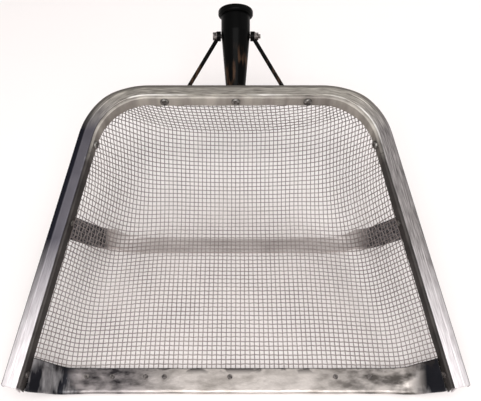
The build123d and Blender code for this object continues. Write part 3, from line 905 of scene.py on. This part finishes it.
def black_paint():
    """Black, with long brown chips that fade out up the socket."""
    finish = Finish("black_paint", 0.0, 0.34)
    finish.shader.inputs["Specular IOR Level"].default_value = 0.03
    finish.shader.inputs["Coat Weight"].default_value = 0.04
    finish.shader.inputs["Coat Roughness"].default_value = 0.15
    chips = finish.ramp(finish.noise(260, (1, 0.16, 0.16), 7), [(0.52, (0, 0, 0)), (0.66, (1, 1, 1))])
    low_down = finish.times(chips, finish.along("Y", 0.335, 0.318))
    finish.bump(finish.noise(220, (1, 1, 1), 4), 0.12, 0.0004)
    return finish.colour(finish.mix(low_down, (0.0015, 0.0015, 0.0015), (0.055, 0.030, 0.018)))


steel, stained, zinc, paint = plated_steel(), stained_rivet(), galvanised_strap(), black_paint()
node_finish = {"strap": zinc}
for name in ("mesh_screws", "mesh_washers", "mesh_nuts", "strap_rivets"):
    node_finish[name] = steel
for name in ("blade_rivets", "blade_end_rivets"):
    node_finish[name] = stained
for name in ("brace_bolt", "brace_nut", "brace_washers"):
    node_finish[name] = stained
for name in ("handle_socket", "socket_foot", "left_brace", "right_brace"):
    node_finish[name] = paint
for name, material in node_finish.items():
    finish_piece(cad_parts[name], material)
print(len(node_finish), "CAD nodes finished")

# %% [markdown]
# ## What rides on what
# Nothing on a sieve moves, so every piece rides on the one body, and the CAD nodes that it replaces are
# hidden.

# %% Pieces to nodes
for piece in [rim, strip_back, strip_left, strip_right, blade, *cloth_pieces]:
    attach(piece, "root")
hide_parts("rim")
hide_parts("clamp_strip_back")
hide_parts("clamp_strip_left")
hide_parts("clamp_strip_right")
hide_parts("front_blade")
for piece in cloth_pieces:
    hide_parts("mesh_basket")

# %% [markdown]
# ## Floor and light
# A pale floor and an even sky give the calm light of a product picture. The main lamp hangs in front and
# above, beside the camera's line, so the cloth's shadow falls behind it and greys what shows through.

# %% Stage
FLOOR_HALF = 6000.0
FLOOR_Z = -0.2              # a hair under the blade, so that the two never share a plane


def make_floor():
    """A wide flat sheet just under the sieve."""
    signs = np.array([(-1, -1), (1, -1), (1, 1), (-1, 1)])
    corners = np.column_stack([signs * FLOOR_HALF, np.full(4, FLOOR_Z)])
    floor = write_mesh("studio_floor", corners, [np.array([[0, 1, 2, 3]])])
    finish = Finish("studio_floor", 0.0, 0.9)
    paper = finish.ramp(finish.noise(0.5), [(0.0, (0.95, 0.90, 0.885)), (1.0, (0.97, 0.92, 0.905))])
    finish_piece(floor, finish.colour(paper))


def make_light(name, place, aim, size, power):
    """A square lamp at place, turned down by the slope to aim and round by its direction in plan."""
    lamp = bpy.data.lights.new(name, "AREA")
    lamp.size = size
    lamp.energy = power
    holder = bpy.data.objects.new(name, lamp)
    bpy.context.scene.collection.objects.link(holder)
    direction = np.array(aim) - np.array(place)
    flat = math.hypot(direction[0], direction[1])
    holder.location = place
    holder.rotation_euler = (math.atan2(flat, -direction[2]), 0, math.atan2(-direction[0], direction[1]))
    print(name, power, "W,", size, "m wide")


make_floor()
make_light("soft_top", (0.0, -0.55, 1.5), (0, 0.13, 0), 1.3, 18)
make_light("soft_front", (-0.9, -0.9, 1.1), (0, 0.1, 0), 1.2, 4)
make_light("soft_back", (0.9, 1.1, 1.0), (0, 0.1, 0), 1.0, 5)
world = bpy.data.worlds.new("studio")
world.use_nodes = True
world.node_tree.nodes["Background"].inputs["Color"].default_value = (1, 0.99, 0.99, 1)
world.node_tree.nodes["Background"].inputs["Strength"].default_value = 0.56
bpy.context.scene.world = world
bpy.context.scene.view_settings.view_transform = "Standard"

# %% [markdown]
# ## Camera
# The sieve is seen from in front and well above, as on a table. The lens shift keeps it beside the middle
# of the picture without turning the camera, so its rails stay even.

# %% Camera
CAMERA_PLACE = (0.0, -0.1901, 0.6017)
CAMERA_DOWN = 55.34         # degrees below the horizon
CAMERA_LENS = 44.04
CAMERA_SHIFT = 0.0101
camera_data = bpy.data.cameras.new("camera")
camera_data.sensor_width = 36.0
camera_data.lens = CAMERA_LENS
camera_data.shift_x = CAMERA_SHIFT
camera_data.clip_start = 0.01
camera = bpy.data.objects.new("camera", camera_data)
camera.location = CAMERA_PLACE
camera.rotation_euler = (math.radians(90 - CAMERA_DOWN), 0, 0)
bpy.context.scene.collection.objects.link(camera)
bpy.context.scene.camera = camera
print("camera", CAMERA_DOWN, "degrees down, lens", CAMERA_LENS, "mm")
